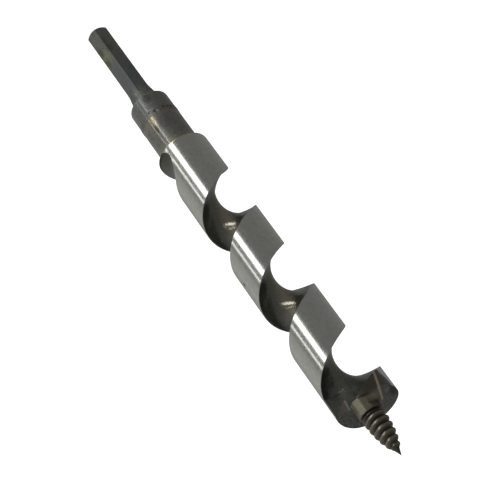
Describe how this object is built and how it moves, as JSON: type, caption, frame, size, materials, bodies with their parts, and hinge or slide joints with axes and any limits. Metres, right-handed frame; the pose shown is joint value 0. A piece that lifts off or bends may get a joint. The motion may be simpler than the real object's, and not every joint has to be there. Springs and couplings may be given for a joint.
{
  "type": "auger bit",
  "caption": "Wood-boring auger bit with a hexagonal drive shank, a welded collar, an open spiral flute, a winged cutting head and a threaded lead screw.",
  "frame": {"origin": "centre of the drive end face, on the axis", "axes": "+Z along the axis, towards the point of the lead screw; the pictured side faces -Y, with +X to the left of the raised shank in the picture"},
  "size_m": [0.0238, 0.0233, 0.2379],
  "materials": {
    "shank_steel": "dark oxide with oil and heat stains, glossy",
    "weld_metal": "dressed weld with a few dark pits",
    "ground_steel": "satin ground lands, dark glossy flutes and head",
    "screw_steel": "dark brown, glossy"
  },
  "bodies": {
    "root": {"hex_shank": "shank_steel", "weld_seam": "weld_metal", "twist": "ground_steel", "lead_screw": "screw_steel"}
  },
  "joints": []
}
